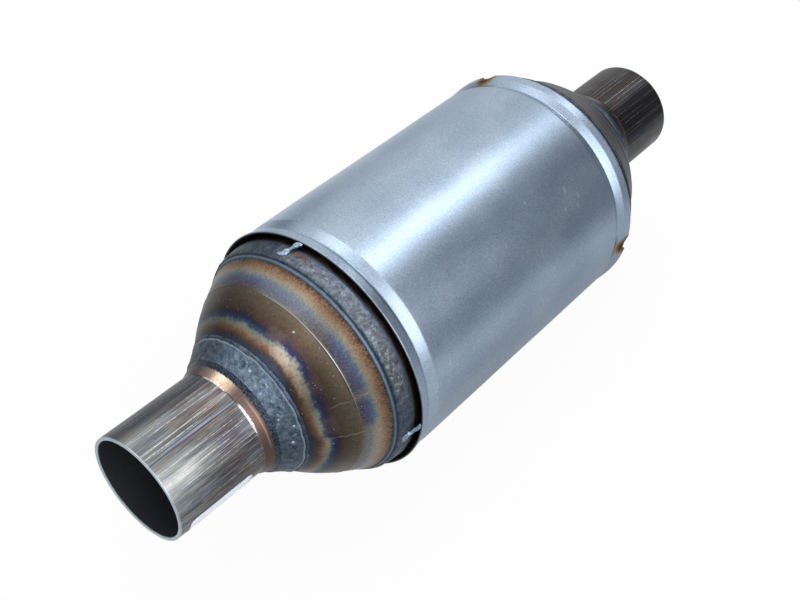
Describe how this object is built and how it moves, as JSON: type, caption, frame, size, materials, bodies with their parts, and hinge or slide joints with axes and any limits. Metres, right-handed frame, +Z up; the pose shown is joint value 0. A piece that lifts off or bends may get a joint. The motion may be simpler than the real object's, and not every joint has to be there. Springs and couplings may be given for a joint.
{
  "type": "catalytic converter",
  "caption": "Weld-in exhaust catalytic converter: round can with domed end cones, flared pipe stubs, a honeycomb brick inside and a tack-welded rolled heat shield.",
  "frame": {"origin": "middle of the overall length, on the axis of the pipes and the can", "axes": "+X along the axis from the inlet stub to the outlet stub, +Z up with the can's rolled seam and the shield's lap underneath"},
  "size_m": [0.3548, 0.121, 0.121],
  "materials": {
    "pipe_steel": "bare drawn stainless tube with lengthwise draw lines and a thin brownish film",
    "cone_steel": "pressed stainless cap with straw, brown and blue heat tints",
    "can_steel": "rolled stainless sheet, dull grey, tinted near the welds",
    "weld_metal": "dark blue-grey weld metal, oxidised and slightly pitted",
    "shield_steel": "aluminised steel sheet, satin blue-grey with fine speckle and light scratches",
    "catalyst_ceramic": "matt washcoated honeycomb ceramic",
    "mat_fibre": "pressed mineral fibre mat"
  },
  "bodies": {
    "root": {"inlet_pipe": "pipe_steel", "outlet_pipe": "pipe_steel", "inlet_cone": "cone_steel", "outlet_cone": "cone_steel", "inlet_pipe_weld": "weld_metal", "outlet_pipe_weld": "weld_metal", "inlet_can_weld": "weld_metal", "outlet_can_weld": "weld_metal", "can": "can_steel", "can_seam_weld": "weld_metal", "heat_shield": "shield_steel", "shield_stitch_welds": "weld_metal", "catalyst_brick": "catalyst_ceramic", "support_mat": "mat_fibre", "inlet_shield_tack_1": "weld_metal", "inlet_shield_tack_2": "weld_metal", "inlet_shield_tack_3": "weld_metal", "outlet_shield_tack_1": "weld_metal", "outlet_shield_tack_2": "weld_metal", "outlet_shield_tack_3": "weld_metal"}
  },
  "joints": []
}
